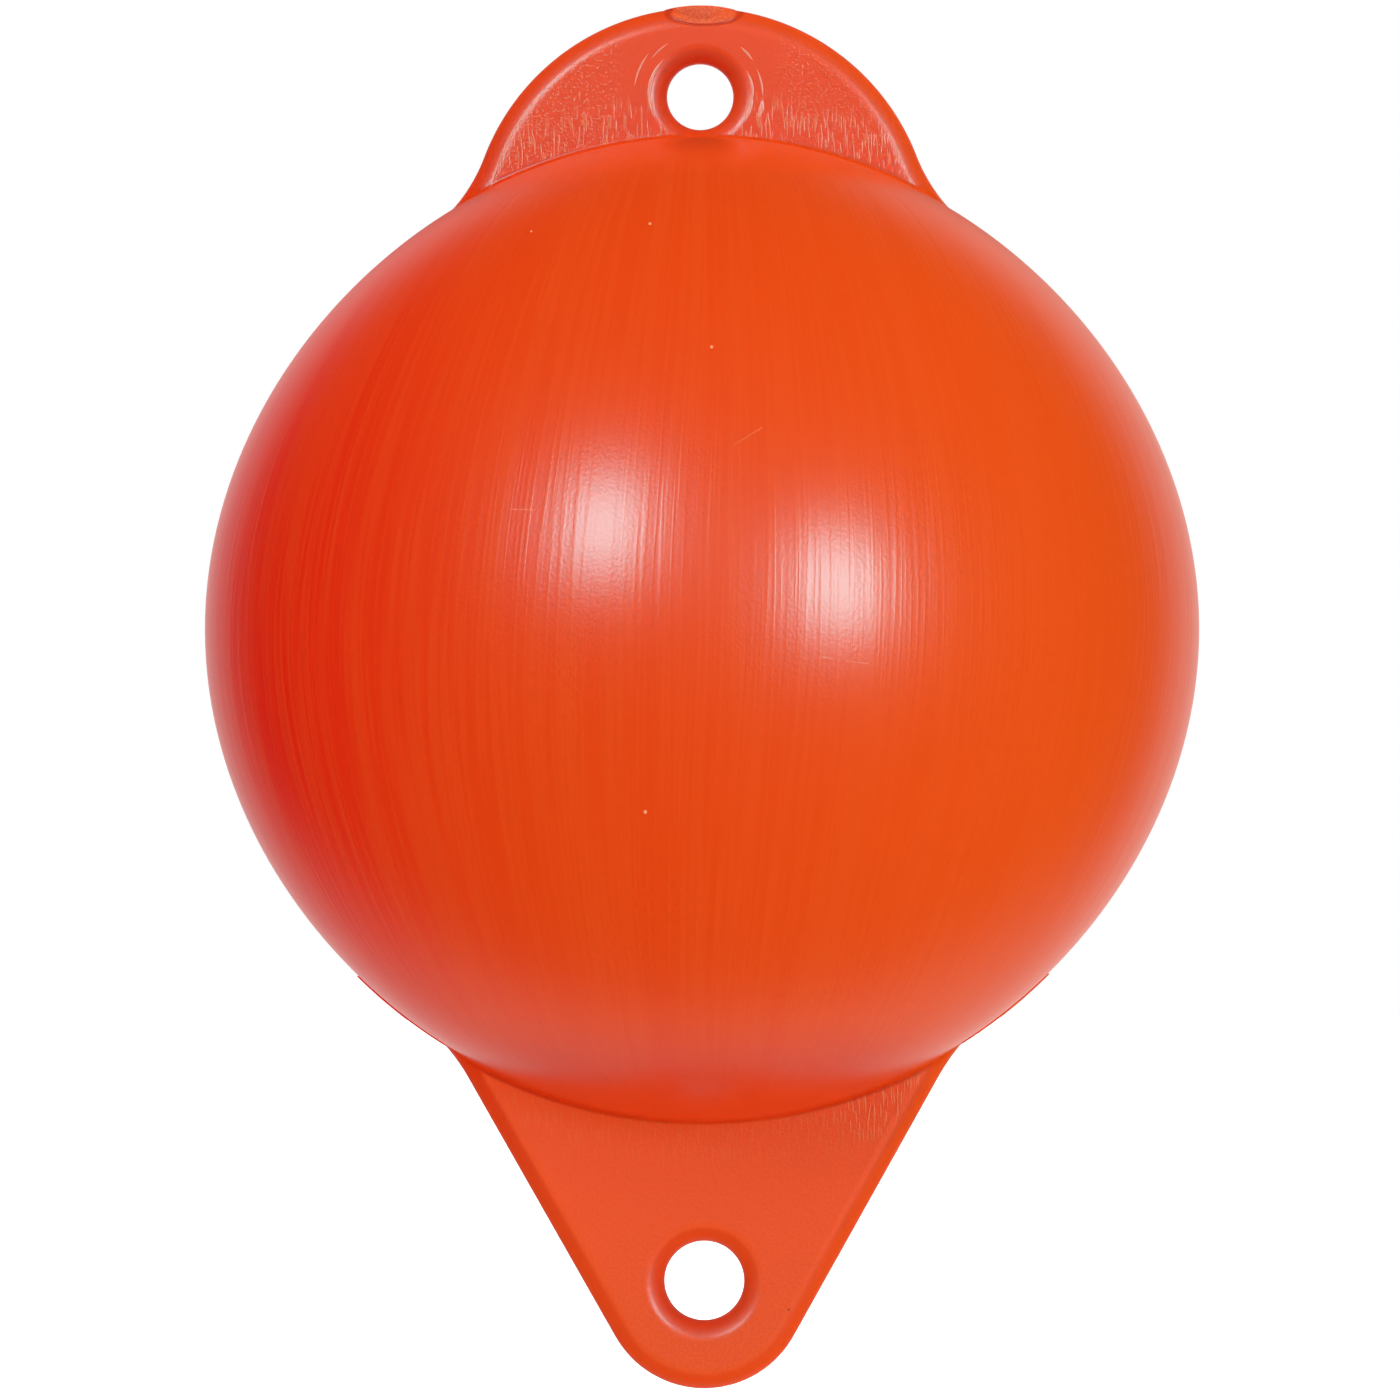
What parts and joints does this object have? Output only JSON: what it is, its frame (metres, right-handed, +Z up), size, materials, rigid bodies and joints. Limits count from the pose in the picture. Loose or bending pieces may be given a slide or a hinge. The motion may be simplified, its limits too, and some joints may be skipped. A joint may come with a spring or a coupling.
{
  "type": "marker float",
  "caption": "Blown plastic marker float: a round ball with a broad rounded rope lug on top and a long tapered rope lug below.",
  "frame": {"origin": "centre of the upper rope eye, halfway through the lug's thickness", "axes": "+Z up along the float's axis, from the lower eye to the upper one; +Y along the bores of both eyes, square to the parting plane; +X to the right along the lugs' width"},
  "size_m": [0.15, 0.15, 0.2087],
  "materials": {
    "float_plastic": "glossy orange-red blown polyethylene with fine die lines, light scuffs and a few specks"
  },
  "bodies": {
    "root": {"float_body": "float_plastic"}
  },
  "joints": []
}
